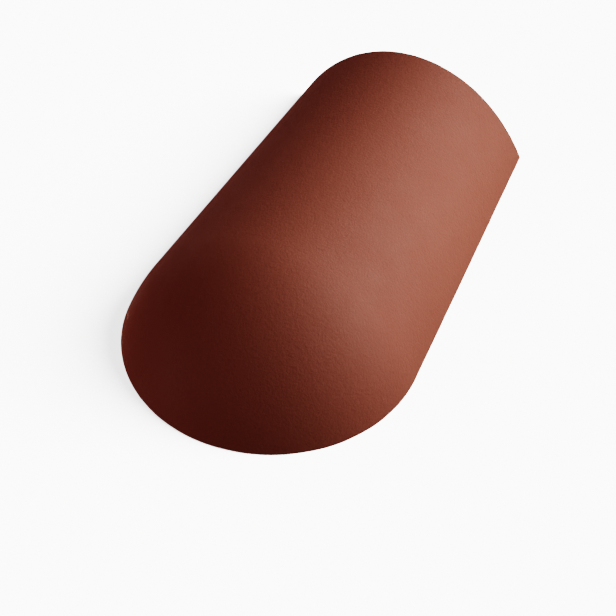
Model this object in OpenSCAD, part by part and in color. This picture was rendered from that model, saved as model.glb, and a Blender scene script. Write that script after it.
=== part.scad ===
// Ridge end tile: a tapered half-barrel tile, open at its narrow mouth and
// closed by a rounded dome at its wide end. One piece of fired clay.
// Lies on its two long edges and on the foot of the dome, on z = 0.
// The barrel runs along X with the mouth toward +X.

/* [Length] */

// length of the barrel, from the widest section to the mouth
barrel_length = 317; // [240:1:420]
// length of the closed end beyond the widest section, over the outside
dome_length = 133; // [110:1:150]

/* [Mouth] */

// outside width of the narrow open mouth, across the feet
mouth_width = 240; // [200:1:260]
// outside height of the narrow open mouth
mouth_height = 88; // [78:1:100]

/* [Wide end] */

// outside width of the widest section, across the feet
wide_width = 269; // [262:1:290]
// outside height of the widest section, where the dome starts
wide_height = 107; // [100:1:116]

/* [Section] */

// fullness of the arch: 1 is a circular arc, less gives flatter sides and a tighter crown
arch_fullness = 0.58; // [0.5:0.02:0.8]
// wall thickness, square to the surface
wall = 13; // [10:0.5:16]
// width of the small flats that break the edges of the mouth and the feet
arris = 1.5; // [0.5:0.25:3]

/* [Part] */

// which piece to draw

/* [Hidden] */

$fn = 180;

mouth_a = mouth_width / 2;
wide_a = wide_width / 2;
overall = barrel_length + dome_length;
below = 20;   // how far the working solids run down past the feet
beyond = 30;  // how far they run out past the mouth
blend = 0.02; // keeps the taper just inside the ball it grows out of

// The arch is the top slice of an oval. From half width a and rise h at the
// feet, these give the level of the oval's centre, its half height, its half
// breadth, and the lean of the side from upright at its foot.
function half_height(a, h) = (a * a / arch_fullness + h * h) / (2 * h);
function centre_level(a, h) = h - half_height(a, h);
function half_breadth(a, h) = half_height(a, h) * sqrt(arch_fullness);
function lean(a, h) = atan(-centre_level(a, h) * arch_fullness / a);

// A section is [half breadth, centre level] of its oval.
function arch(a, h) = [half_breadth(a, h), centre_level(a, h)];
// A round section of half width a at the feet, with its centre at a level:
// above the feet its sides spread upward, below them they draw in.
function round_at(a, level) = [sqrt(a * a + level * level), level];

// the side walls are measured across the feet, so they are a little wider there
wall_wide = wall / cos(lean(wide_a, wide_height));
wall_mouth = wall / cos(lean(mouth_a, mouth_height));
in_wide_a = wide_a - wall_wide;
in_mouth_a = mouth_a - wall_mouth;
in_dome = dome_length - wall_wide;

// How far a dome on section o reaches back at z = 0, for a centre line that
// rises by shift and sides that draw in at an angle slope.
function reach(o, full, shift, slope) =
    let (rs = o[0] * cos(slope), c = full * o[1], q = 1 + full * shift * shift)
    (c * shift + sqrt(c * c * shift * shift - q * (c * o[1] - rs * rs))) / q;

// Stretch along X that brings the dome to its length.
function stretch(o0, o1, full, length, dome, steps = 5) =
    steps == 0 ? 1 :
    let (f = stretch(o0, o1, full, length, dome, steps - 1))
    dome / reach(o0, full, (o1[1] - o0[1]) * f / length, atan((o0[0] - o1[0]) * f / length));

// Ball of radius rs at the origin with a taper growing smoothly out of it
// along Z, to radius r1 at z = len and on past it by beyond.
module ball_and_taper(r0, r1, len) {
    slope = atan((r0 - r1) / len);
    start = r0 * cos(slope) * sin(slope);
    sphere(r = r0 * cos(slope));
    translate([0, 0, start])
        cylinder(r1 = r0 - start * tan(slope) - blend,
                 r2 = r1 - beyond * tan(slope) - blend,
                 h = len - start + beyond);
}

// Solid with oval sections that taper evenly from o0 at x = 0 to o1 at
// x = length and on past it, closed by a dome that reaches back to x = -dome
// at z = 0. It is a ball and taper flattened to the oval, kept from a little
// under the feet upward. Its edge at x = length is cut back at 45 degrees by
// mouth_flat, or flared out where that is negative.
module oval_taper(o0, o1, full, length, dome, mouth_flat = 0) {
    f = stretch(o0, o1, full, length, dome);
    len = length / f;
    far = len + beyond;
    low = -max(o0[1], o1[1]) * sqrt(full) - below;
    multmatrix([[f, 0, 0, 0],
                [0, 1, 0, 0],
                [(o1[1] - o0[1]) / len, 0, 1 / sqrt(full), o0[1]],
                [0, 0, 0, 1]])
        intersection() {
            rotate([0, 90, 0])
                if (mouth_flat > 0)
                    intersection() {
                        ball_and_taper(o0[0], o1[0], len);
                        translate([0, 0, -2 * o0[0]])
                            cylinder(r1 = o1[0] - mouth_flat + len + 2 * o0[0],
                                     r2 = o1[0] - mouth_flat - beyond, h = far + 2 * o0[0]);
                    }
                else
                    union() {
                        ball_and_taper(o0[0], o1[0], len);
                        if (mouth_flat < 0)
                            translate([0, 0, len - beyond])
                                cylinder(r1 = o1[0] - mouth_flat - beyond,
                                         r2 = o1[0] - mouth_flat + beyond, h = 2 * beyond);
                    }
            translate([-2 * o0[0], -2 * o0[0], low]) cube([2 * o0[0] + 2 * far, 4 * o0[0], 4 * o0[0]]);
        }
}

module ridge_end_tile() {
    color([0.56, 0.33, 0.25])
    translate([dome_length - overall / 2, 0, 0])
    difference() {
        intersection() {
            // outside
            oval_taper(arch(wide_a, wide_height), arch(mouth_a, mouth_height),
                       arch_fullness, barrel_length, dome_length, arris);
            // broken outer edge of the feet
            oval_taper(round_at(wide_a - arris, mouth_a), round_at(mouth_a - arris, mouth_a),
                       1, barrel_length, dome_length - arris);
            // feet and mouth cut flat
            translate([-2 * dome_length, -wide_width, 0])
                cube([barrel_length + 2 * dome_length, 2 * wide_width, 2 * wide_height]);
        }
        // inside
        oval_taper(arch(in_wide_a, wide_height - wall), arch(in_mouth_a, mouth_height - wall),
                   arch_fullness, barrel_length, in_dome, -arris);
        // broken inner edge of the feet
        oval_taper(round_at(in_wide_a + arris, -1.5 * in_mouth_a), round_at(in_mouth_a + arris, -1.5 * in_mouth_a),
                   1, barrel_length, in_dome + arris);
    }
}

ridge_end_tile();
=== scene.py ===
import math

import bpy
import numpy as np
from mathutils import Matrix, Vector, noise


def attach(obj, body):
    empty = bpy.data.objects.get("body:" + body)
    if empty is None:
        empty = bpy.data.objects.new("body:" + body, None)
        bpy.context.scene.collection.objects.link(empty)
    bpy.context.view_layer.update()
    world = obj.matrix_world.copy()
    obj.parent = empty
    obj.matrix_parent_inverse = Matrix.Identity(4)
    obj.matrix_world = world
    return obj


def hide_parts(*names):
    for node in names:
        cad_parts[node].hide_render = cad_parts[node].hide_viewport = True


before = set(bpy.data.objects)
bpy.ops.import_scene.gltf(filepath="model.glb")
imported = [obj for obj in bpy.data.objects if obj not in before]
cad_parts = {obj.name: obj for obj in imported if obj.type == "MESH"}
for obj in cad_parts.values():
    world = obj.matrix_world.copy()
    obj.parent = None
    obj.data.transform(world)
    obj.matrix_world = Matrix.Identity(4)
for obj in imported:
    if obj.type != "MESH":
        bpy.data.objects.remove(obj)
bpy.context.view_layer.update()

# ---------------------------------------------------------------- dimensions
# Millimetres, from the widest section. Same shape as the CAD part.
BARREL, DOME = 317.0, 133.0
WIDE = (134.5, 107.0)     # half width across the feet, height
MOUTH = (120.0, 88.0)
FULL = 0.58
WALL = 13.0
ORIGIN_X = 92.0           # from the middle of the part to the widest section
ROUND = 1.5               # rounding of the edges

# the camera comes first: the place and the angle it looks from
CAM_AT = (-0.790559, -0.364939, 0.891908)
CAM_AZ, CAM_EL = -64.668, 47.467
LENS = 78.64


def oval(a, h):
    """Half breadth and centre level of the oval whose top slice is an arch."""
    half = (a * a / FULL + h * h) / (2 * h)
    return half * math.sqrt(FULL), h - half


def wall_at_foot(a, h):
    return WALL / math.cos(math.atan(-oval(a, h)[1] * FULL / a))


class Skin:
    """One face of the shell, outer or inner: a taper of ovals closed by a dome."""

    def __init__(self, wide, mouth, dome):
        (b0, c0), (b1, c1) = oval(*wide), oval(*mouth)
        f = 1.0
        for _ in range(8):
            length = BARREL / f
            shift, slope = (c1 - c0) / length, math.atan((b0 - b1) / length)
            rs, c, q = b0 * math.cos(slope), FULL * c0, 1 + FULL * shift * shift
            f = dome * q / (c * shift + math.sqrt(c * c * shift * shift - q * (c * c0 - rs * rs)))
        self.f, self.length = f, BARREL / f
        self.b0, self.c0 = b0, c0
        self.shift = (c1 - c0) / self.length
        self.slope = math.atan((b0 - b1) / self.length)
        self.rs = b0 * math.cos(self.slope)
        self.start = self.rs * math.sin(self.slope)     # where the dome takes over
        self.up = 1 / math.sqrt(FULL)

    def place(self, x, y, s):
        """From the round body to the real one."""
        return np.stack([self.f * x, y, self.up * s + self.c0 + self.shift * x], -1)

    def barrel(self, u, b):
        """u is 0 at the dome and 1 at the mouth, b runs from foot to foot, -1 to 1."""
        x = self.start + u * (self.length - self.start)
        rho = self.b0 - x * math.tan(self.slope)
        foot = np.arcsin(-(self.c0 + self.shift * x) / self.up / rho)
        t = math.pi / 2 - b * (math.pi / 2 - foot)
        return self.place(x, rho * np.cos(t), rho * np.sin(t))

    def dome(self, px, py):
        """A disc of radius 1 round the crown: px < 0 is forward, r = 1 is the foot."""
        r, phi = np.hypot(px, py), np.arctan2(py, -px)
        back = self.start * np.cos(phi)
        rp = np.sqrt(self.rs ** 2 - (self.start * np.sin(phi)) ** 2)
        psi = np.full_like(r, 0.9)
        for _ in range(30):     # the angle of the foot in this direction
            g = self.up * rp * np.cos(psi) + self.c0 + self.shift * (self.start - (back + rp * np.sin(psi)) * np.cos(phi))
            dg = -self.up * rp * np.sin(psi) - self.shift * rp * np.cos(psi) * np.cos(phi)
            psi = psi - np.clip(g / dg, -0.2, 0.2)
        top = np.arcsin(-back / rp)
        psi = top + r * (psi - top)
        reach = back + rp * np.sin(psi)
        return self.place(self.start - reach * np.cos(phi), reach * np.sin(phi), rp * np.cos(psi))


def graded(n, near, total, both=False):
    """n steps from 0 to 1 over a length: fine at 0, even further on. near lists the first distances."""
    near = np.array(near) / total
    if not both:
        rest = np.linspace(near[-1], 1, n - len(near) + 2)[1:]
        return np.concatenate([near, rest])
    mid = np.linspace(near[-1], 1 - near[-1], n - 2 * (len(near) - 1) + 1)[1:-1]
    return np.concatenate([near, mid, (1 - near)[::-1]])


# ---------------------------------------------------------------- the grid
EDGE = [0, 0.35, 0.75, 1.2, 1.75, 2.5, 3.6]
BLOCK = 0.74                                     # the middle block, out of 1 at the foot
ACROSS, ALONG, ROUNDWAY, BAND, RIM = 118, 142, 62, 26, 14
rows = np.linspace(-1, 1, ACROSS + 1)
cols = 1 - graded(ALONG, EDGE, BARREL)           # 1 at the mouth to 0 at the dome
caps = -np.linspace(0, 1, ROUNDWAY + 1)[1:]      # and round the dome
band = 1 - graded(BAND, EDGE, 178 * (1 - BLOCK))[::-1]   # 0 at the block to 1 at the foot
rim = graded(RIM, EDGE, 14.2, both=True)
SOFT = 0.55                                      # how far the block's corners are rounded


def surface(skin):
    """Points of one skin: the block (rows x columns), then the band, from the mouth's left foot round to its right foot."""
    j, i = np.meshgrid(rows, cols, indexing="ij")
    block = skin.barrel(i, j * BLOCK)
    j, a = np.meshgrid(rows, caps, indexing="ij")
    px, py = a * np.sqrt(1 - SOFT * j * j / 2), j * np.sqrt(1 - SOFT * a * a / 2)
    block = np.concatenate([block, skin.dome(px * BLOCK, py * BLOCK)], 1)

    chain = []
    for side in (-1, 1):
        u, w = np.meshgrid(cols, band, indexing="ij")
        long = skin.barrel(u, side * (BLOCK + (1 - BLOCK) * w))
        px = caps * np.sqrt(1 - SOFT / 2)
        py = side * np.sqrt(1 - SOFT * caps * caps / 2)
        chain.append((long, fan(skin, px, py * np.ones_like(px))))
    px, py = -np.sqrt(1 - SOFT * rows * rows / 2), rows * np.sqrt(1 - SOFT / 2)
    front = fan(skin, px, py)[1:-1]
    (l0, l1), (r0, r1) = chain
    outline = np.concatenate([l0, l1, front, r1[::-1], r0[::-1]], 0)
    return block, outline


def fan(skin, px, py):
    """Band rows over the dome, straight out from the block's edge to the foot."""
    r = np.hypot(px, py)
    inner = BLOCK * r
    w = inner[:, None] + (1 - inner)[:, None] * band[None, :]
    return skin.dome(px[:, None] / r[:, None] * w, py[:, None] / r[:, None] * w)


OUTER = Skin(WIDE, MOUTH, DOME)
in_wide = WIDE[0] - wall_at_foot(*WIDE)
in_mouth = MOUTH[0] - wall_at_foot(*MOUTH)
INNER = Skin((in_wide, WIDE[1] - WALL), (in_mouth, MOUTH[1] - WALL), DOME - wall_at_foot(*WIDE))


def build():
    """Vertices in mm, quads, and what each vertex belongs to."""
    skins = [surface(OUTER), surface(INNER)]
    nj, ni = ACROSS + 1, len(cols) + len(caps)
    nc, nw = skins[0][1].shape[0], BAND + 1
    points, quads, flat = [], [], []
    index = []
    base = 0
    for block, outline in skins:
        b = base + np.arange(nj * ni).reshape(nj, ni)
        points.append(block.reshape(-1, 3))
        base += nj * ni
        # the band's first row is the block's edge, left side, front and right side
        left, front, right = b[0, :], b[1:-1, -1], b[-1, ::-1]
        edge = np.concatenate([left, front, right])
        o = np.zeros((nc, nw), int)
        o[:, 0] = edge
        o[:, 1:] = base + np.arange(nc * (nw - 1)).reshape(nc, nw - 1)
        points.append(outline[:, 1:].reshape(-1, 3))
        base += nc * (nw - 1)
        index.append((b, o))
    points = np.concatenate(points)
    for k, (b, o) in enumerate(index):
        q = np.stack([b[:-1, :-1], b[1:, :-1], b[1:, 1:], b[:-1, 1:]], -1).reshape(-1, 4)
        p = np.stack([o[:-1, :-1], o[1:, :-1], o[1:, 1:], o[:-1, 1:]], -1).reshape(-1, 4)
        quads += [q, p] if k == 0 else [q[:, ::-1], p[:, ::-1]]
    # the closed edge loop: foot line round the dome, then the mouth from right foot to left
    loops = []
    for b, o in index:
        mouth = np.concatenate([o[-1, ::-1][1:], b[::-1, 0][1:], o[0, :][1:-1]])
        loops.append(np.concatenate([o[:, -1], mouth]))
    lo, li = loops
    n = len(lo)
    strip = np.zeros((n, RIM + 1), int)
    strip[:, 0], strip[:, -1] = lo, li
    strip[:, 1:-1] = base + np.arange(n * (RIM - 1)).reshape(n, RIM - 1)
    t = rim[1:-1][None, :, None]
    points = np.concatenate([points, (points[lo][:, None] * (1 - t) + points[li][:, None] * t).reshape(-1, 3)])
    nxt = np.roll(strip, -1, 0)
    quads.append(np.stack([strip[:, :-1], nxt[:, :-1], nxt[:, 1:], strip[:, 1:]], -1).reshape(-1, 4))
    quads = np.concatenate(quads)

    # partner points across the wall, for the directions used in rounding
    o_at, i_at = np.zeros_like(points), np.zeros_like(points)
    for x, y in zip(*index):
        for at in (x, y):
            o_at[at], i_at[at] = points[x], points[y]
    o_at[strip[:, 1:-1]] = points[lo][:, None]
    i_at[strip[:, 1:-1]] = points[li][:, None]
    part = np.zeros(len(points))                 # 0 outer skin, 1 inner skin, between on the rim
    part[index[1][0]] = 1
    part[index[1][1]] = 1
    part[strip] = rim[None, :]
    return points, quads, o_at, i_at, part, strip


def noise_at(p, size, seed):
    """Smooth noise, about -1 to 1, of features size mm across."""
    off = Vector((seed * 17.13, seed * 5.71, seed * 9.37))
    return np.array([noise.noise(Vector(v) + off) for v in p / size])


points, quads, o_at, i_at, part, strip = build()

# rounding of every edge, a little uneven as on pressed clay
span = i_at - o_at
thick = np.linalg.norm(span, axis=1)
into = span / thick[:, None]                     # from the outer skin into the wall
dist_out, dist_in = np.linalg.norm(points - o_at, axis=1), np.linalg.norm(points - i_at, axis=1)
up_lean = 0.93
height = points[:, 2] / up_lean
to_mouth = BARREL - points[:, 0]
near_edge = (np.minimum(height, to_mouth) < 6.0)
radius = np.full(len(points), ROUND)
idx = np.where(near_edge)[0]
radius[idx] = ROUND * (1 + 0.28 * noise_at(points[idx], 22, 3) + 0.22 * noise_at(points[idx], 6.5, 5))
outward = np.zeros_like(points)
outward[:, :2] = -into[:, :2]
outward[:, :2] /= np.maximum(np.linalg.norm(outward[:, :2], axis=1, keepdims=True), 1e-9)
side_up = np.stack([-outward[:, 0] * 0.37, -outward[:, 1] * 0.37, np.full(len(points), up_lean)], 1)
nearest = np.minimum(dist_out, dist_in)
across = np.where((dist_out < dist_in)[:, None], into, -into)
q = np.stack([np.maximum(radius - nearest, 0), np.maximum(radius - height, 0), np.maximum(radius - to_mouth, 0)], 1)
size = np.linalg.norm(q, axis=1)
delta = q * np.where(size > radius, 1 - radius / np.maximum(size, 1e-9), 0.0)[:, None]
moved = points + delta[:, :1] * across + delta[:, 1:2] * side_up + delta[:, 2:] * np.array([-1.0, 0, 0])
second = np.sort(np.stack([nearest, height, to_mouth], 1), axis=1)[:, 1]     # how far the second face is
edge_share = np.clip(1 - second / 3.2, 0, 1)
moved[:, 2] = np.maximum(moved[:, 2], 0)

co = moved.copy()
co[:, 0] -= ORIGIN_X
co *= 0.001

mesh = bpy.data.meshes.new("ridge_end_tile_body")
mesh.vertices.add(len(co))
mesh.vertices.foreach_set("co", co.astype(np.float32).ravel())
mesh.loops.add(len(quads) * 4)
mesh.loops.foreach_set("vertex_index", quads.astype(np.int32).ravel())
mesh.polygons.add(len(quads))
mesh.polygons.foreach_set("loop_start", (np.arange(len(quads)) * 4).astype(np.int32))
mesh.update(calc_edges=True)
mesh.validate()
for name, values in (("arris", edge_share), ("inner_face", part)):
    at = mesh.attributes.new(name, "FLOAT", "POINT")
    at.data.foreach_set("value", values.astype(np.float32))
mesh.polygons.foreach_set("use_smooth", np.ones(len(mesh.polygons), bool))
mesh.update()
tile = bpy.data.objects.new("tile_body", mesh)
bpy.context.scene.collection.objects.link(tile)

# ---------------------------------------------------------------- materials


def nodes_of(owner):
    """A cleared node tree, with short ways to add and link."""
    owner.use_nodes = True
    tree = owner.node_tree
    tree.nodes.clear()

    def put(value, socket):
        if hasattr(value, "default_value") and hasattr(value, "is_output"):
            tree.links.new(value, socket)
        else:
            socket.default_value = value

    def add(kind, inputs=None, **settings):
        node = tree.nodes.new(kind)
        for key, value in settings.items():
            setattr(node, key, value)
        for key, value in (inputs or {}).items():
            put(value, node.inputs[key])
        return node

    def math_(op, a, b=None, clamp=False):
        node = add("ShaderNodeMath", operation=op, use_clamp=clamp)
        put(a, node.inputs[0])
        if b is not None:
            put(b, node.inputs[1])
        return node.outputs[0]

    def grain(where, size, detail=2.0, rough=0.5, distortion=0.0):
        """Noise, about 0.5 on average, of features size metres across."""
        node = add("ShaderNodeTexNoise", {"Vector": where, "Scale": 1 / size, "Detail": detail,
                                          "Roughness": rough, "Distortion": distortion})
        return node.outputs["Fac"]

    def span(value, low, high, to_low=0.0, to_high=1.0, smooth=False):
        node = add("ShaderNodeMapRange", {"Value": value, "From Min": low, "From Max": high,
                                          "To Min": to_low, "To Max": to_high})
        if smooth:
            node.interpolation_type = "SMOOTHSTEP"
        return node.outputs["Result"]

    def blend(fac, a, b, kind="MIX"):
        node = add("ShaderNodeMix", data_type="RGBA", blend_type=kind)
        put(fac, node.inputs["Factor"])
        put(a, node.inputs[6])
        put(b, node.inputs[7])
        return node.outputs[2]
    return add, math_, grain, span, blend, tree.links.new


def rgb(r, g, b):
    return (r, g, b, 1.0)


ENGOBE = (0.4622, 0.1479, 0.0943)       # matte slip over the outside
BODY = (0.530, 0.198, 0.112)           # bare clay, on the inside and where edges rub


def clay_material():
    m = bpy.data.materials.new("engobed_clay")
    add, math_, grain, span, blend, link = nodes_of(m)
    at = add("ShaderNodeTexCoord").outputs["Object"]
    arris = add("ShaderNodeAttribute", attribute_name="arris").outputs["Fac"]
    inner = add("ShaderNodeAttribute", attribute_name="inner_face").outputs["Fac"]

    cloud = grain(at, 0.16, 3.0, 0.55)            # slow change over the tile, from the kiln
    patch = grain(at, 0.030, 3.0, 0.6)
    fine = grain(at, 0.0022, 3.0, 0.65)           # sand in the slip
    grit = grain(at, 0.0009, 1.0, 0.5)

    # colour of the slip
    slip = blend(span(cloud, 0.35, 0.65), rgb(*(c * f for c, f in zip(ENGOBE, (0.985, 0.965, 0.96)))),
                 rgb(*(c * f for c, f in zip(ENGOBE, (1.015, 1.035, 1.04)))))
    slip = blend(span(patch, 0.35, 0.7, 0.0, 0.25), slip,
                 rgb(*(c * f for c, f in zip(ENGOBE, (0.94, 0.90, 0.88)))))
    slip = blend(span(fine, 0.56, 0.72, 0.0, 0.30), slip, rgb(*(c * f for c, f in zip(ENGOBE, (1.10, 1.18, 1.22)))))
    slip = blend(span(fine, 0.44, 0.30, 0.0, 0.30), slip, rgb(*(c * f for c, f in zip(ENGOBE, (0.86, 0.80, 0.80)))))

    # bare clay, with grog and a little kiln shadow
    clay = blend(span(patch, 0.3, 0.7), rgb(*(c * f for c, f in zip(BODY, (0.93, 0.90, 0.88)))),
                 rgb(*(c * f for c, f in zip(BODY, (1.06, 1.08, 1.10)))))
    clay = blend(span(fine, 0.55, 0.75, 0.0, 0.55), clay, rgb(0.64, 0.31, 0.19))
    clay = blend(span(fine, 0.42, 0.28, 0.0, 0.55), clay, rgb(0.33, 0.098, 0.054))

    # the slip covers the outside and thins out over the edges onto the cut faces
    ragged = math_("MULTIPLY", math_("SUBTRACT", patch, 0.5), 0.9)
    inside = span(math_("ADD", inner, ragged), 0.22, 0.42)
    rubbed = span(math_("ADD", arris, math_("MULTIPLY", math_("SUBTRACT", grain(at, 0.006, 4.0, 0.7), 0.5), 1.9)),
                  0.80, 1.20)
    rubbed = math_("MULTIPLY", rubbed, 0.55)
    bare = math_("MAXIMUM", inside, rubbed)
    colour = blend(bare, slip, clay)

    rough = span(patch, 0.3, 0.7, 0.56, 0.66)
    rough = math_("ADD", rough, span(fine, 0.3, 0.7, -0.04, 0.04))
    rough = math_("ADD", rough, math_("MULTIPLY", bare, 0.20), clamp=True)

    # relief: fine sand everywhere, drag marks of the press along the inside
    stretched = add("ShaderNodeMapping", {"Vector": at, "Scale": (0.10, 1.0, 1.0)}, vector_type="POINT")
    drag = grain(stretched.outputs[0], 0.0045, 3.0, 0.6)
    height = math_("MULTIPLY", fine, 0.34)
    height = math_("ADD", height, math_("MULTIPLY", grit, 0.06))
    height = math_("ADD", height, math_("MULTIPLY", grain(at, 0.0055, 1.0, 0.5), 0.20))
    height = math_("ADD", height, math_("MULTIPLY", grain(at, 0.014, 1.0, 0.5), 0.10))
    under = math_("ADD", math_("MULTIPLY", drag, 0.35), math_("MULTIPLY", fine, 0.25))
    height = math_("ADD", height, math_("MULTIPLY", under, inside))
    bump = add("ShaderNodeBump", {"Strength": 1.0, "Distance": 0.001, "Height": height})

    bsdf = add("ShaderNodeBsdfPrincipled", {"Base Color": colour, "Roughness": rough,
                                            "Normal": bump.outputs["Normal"]})
    bsdf.inputs["Specular IOR Level"].default_value = 0.341
    link(bsdf.outputs["BSDF"], add("ShaderNodeOutputMaterial").inputs["Surface"])
    return m


tile.data.materials.append(clay_material())

# ---------------------------------------------------------------- the stage
FLOOR_GLOW, FLOOR_LIT = 1.3, 13.0


def floor_material():
    """Pale from above, with painted shade in under the tile: where ambient occlusion finds the floor closed in, its
    colour and its glow are painted darker and a little warm, a painted shadow with painted red bounce from the
    clay; from below it lets the eye through, so the underside can be seen.
    """
    m = bpy.data.materials.new("pale_floor_painted_shade")
    add, math_, grain, span, blend, link = nodes_of(m)
    # painted shade: sky is 1 in the open and falls to 0 deep under the tile; it darkens the floor's colour and glow
    # towards warm dark ends, painted shadow and painted red bounce
    sky = span(add("ShaderNodeAmbientOcclusion", {"Distance": 0.15}, samples=12).outputs["AO"], 0.10, 0.55)
    matt = add("ShaderNodeBsdfDiffuse", {"Color": blend(sky, rgb(0.30, 0.24, 0.22), rgb(0.8, 0.8, 0.8))})
    glow = add("ShaderNodeEmission", {"Color": blend(sky, rgb(0.06, 0.045, 0.038), rgb(1, 1, 1)), "Strength": FLOOR_GLOW})
    both = add("ShaderNodeAddShader")
    link(matt.outputs[0], both.inputs[0])
    link(glow.outputs[0], both.inputs[1])
    side = add("ShaderNodeMixShader", {0: add("ShaderNodeNewGeometry").outputs["Backfacing"]})
    link(both.outputs[0], side.inputs[1])
    link(add("ShaderNodeBsdfTransparent").outputs[0], side.inputs[2])
    link(side.outputs[0], add("ShaderNodeOutputMaterial").inputs["Surface"])
    return m


fm = bpy.data.meshes.new("floor")
fm.from_pydata([(-60, -60, 0), (60, -60, 0), (60, 60, 0), (-60, 60, 0)], [], [(0, 1, 2, 3)])
fm.materials.append(floor_material())
floor = bpy.data.objects.new("floor", fm)
bpy.context.scene.collection.objects.link(floor)
floor.visible_diffuse = floor.visible_glossy = floor.visible_shadow = False

AMBIENT = (0.0581, 0.0351, 0.0333)
world = bpy.data.worlds.new("studio")
bpy.context.scene.world = world
add, math_, grain, span, blend, link = nodes_of(world)
soft = add("ShaderNodeBackground", {"Color": rgb(*AMBIENT), "Strength": 1.0})
pale = add("ShaderNodeBackground", {"Color": rgb(1, 1, 1), "Strength": FLOOR_GLOW + 0.8 * FLOOR_LIT / math.pi})
pick = add("ShaderNodeMixShader", {0: add("ShaderNodeLightPath").outputs["Is Camera Ray"]})
link(soft.outputs[0], pick.inputs[1])
link(pale.outputs[0], pick.inputs[2])
link(pick.outputs[0], add("ShaderNodeOutputWorld").inputs["Surface"])

on_tile = bpy.data.collections.new("lit_by_lamps")
on_tile.objects.link(tile)
on_floor = bpy.data.collections.new("lit_by_sky")
on_floor.objects.link(floor)


def lamp(name, azimuth, elevation, distance, size, power, tint=(1, 1, 1), aim=(-0.026, 0, 0.03)):
    """A round soft light on the tile. Azimuth is measured from +X towards +Y."""
    data = bpy.data.lights.new(name, "AREA")
    data.shape, data.size, data.energy, data.color = "DISK", size, power, tint
    o = bpy.data.objects.new(name, data)
    bpy.context.scene.collection.objects.link(o)
    a, e = math.radians(azimuth), math.radians(elevation)
    way = Vector((math.cos(e) * math.cos(a), math.cos(e) * math.sin(a), math.sin(e)))
    o.location = Vector(aim) + way * distance
    o.rotation_mode = "QUATERNION"
    o.rotation_quaternion = way.to_track_quat("Z", "Y")
    o.visible_camera = False
    o.light_linking.receiver_collection = on_tile
    return o


def sky_on_floor(azimuth, elevation, strength, spread):
    data = bpy.data.lights.new("sky", "SUN")
    data.energy, data.angle = strength / math.sin(math.radians(elevation)), math.radians(spread)
    o = bpy.data.objects.new("sky", data)
    bpy.context.scene.collection.objects.link(o)
    a, e = math.radians(azimuth), math.radians(elevation)
    way = Vector((math.cos(e) * math.cos(a), math.cos(e) * math.sin(a), math.sin(e)))
    o.rotation_mode = "QUATERNION"
    o.rotation_quaternion = way.to_track_quat("Z", "Y")
    o.light_linking.receiver_collection = on_floor
    return o


WARM = (1.0, 0.60, 0.57)
KEYS = [
    ("key", -68.9, 30.7, 0.511, 0.653, 1.555, (1, 1, 1), (-0.051, 0, 0.03)),
    ("wide", -23.7, 15.9, 2.400, 2.262, 16.158, (1, 1, 1)),
    ("low_mouth_side", 61.1, 1.3, 2.000, 1.200, 1.542, WARM),
    ("low_dome_side", 136.8, 1.1, 2.000, 1.200, 3.551, WARM),
]
for row in KEYS:
    lamp(*row)
# from below, as the floor would throw it back: the far side's foot, the hollow underside, the mouth's face
lamp("under_side", 62, -60, 0.60, 0.16, 1.25, aim=(0, 0, 0.05))
lamp("far_side_bounce", 72, -44, 1.20, 0.50, 6.0, aim=(0, 0.1, 0.03)).visible_glossy = False
lamp("under_soft", 200, -74, 0.90, 0.50, 0.36, aim=(0, 0, 0))
lamp("at_mouth", 0, -14, 1.00, 0.40, 0.95, aim=(0.05, 0, 0.03))
sky_on_floor(-65, 34, FLOOR_LIT, 40)

camera = bpy.data.cameras.new("camera")
camera.lens = LENS
camera.sensor_width = 36
camera.clip_end = 100
cam = bpy.data.objects.new("camera", camera)
bpy.context.scene.collection.objects.link(cam)
a, e = math.radians(CAM_AZ), math.radians(CAM_EL)
back = Vector((math.sin(a) * math.cos(e), -math.cos(a) * math.cos(e), math.sin(e)))
right = Vector((math.cos(a), math.sin(a), 0))
up = back.cross(right)
cam.location = CAM_AT
cam.rotation_mode = "QUATERNION"
cam.rotation_quaternion = Matrix((right, up, back)).transposed().to_quaternion()
bpy.context.scene.camera = cam

view = bpy.context.scene.view_settings
view.view_transform = "Filmic"
view.look = "High Contrast"

# ---------------------------------------------------------------- the frame
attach(tile, "root")
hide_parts("ridge_end_tile")
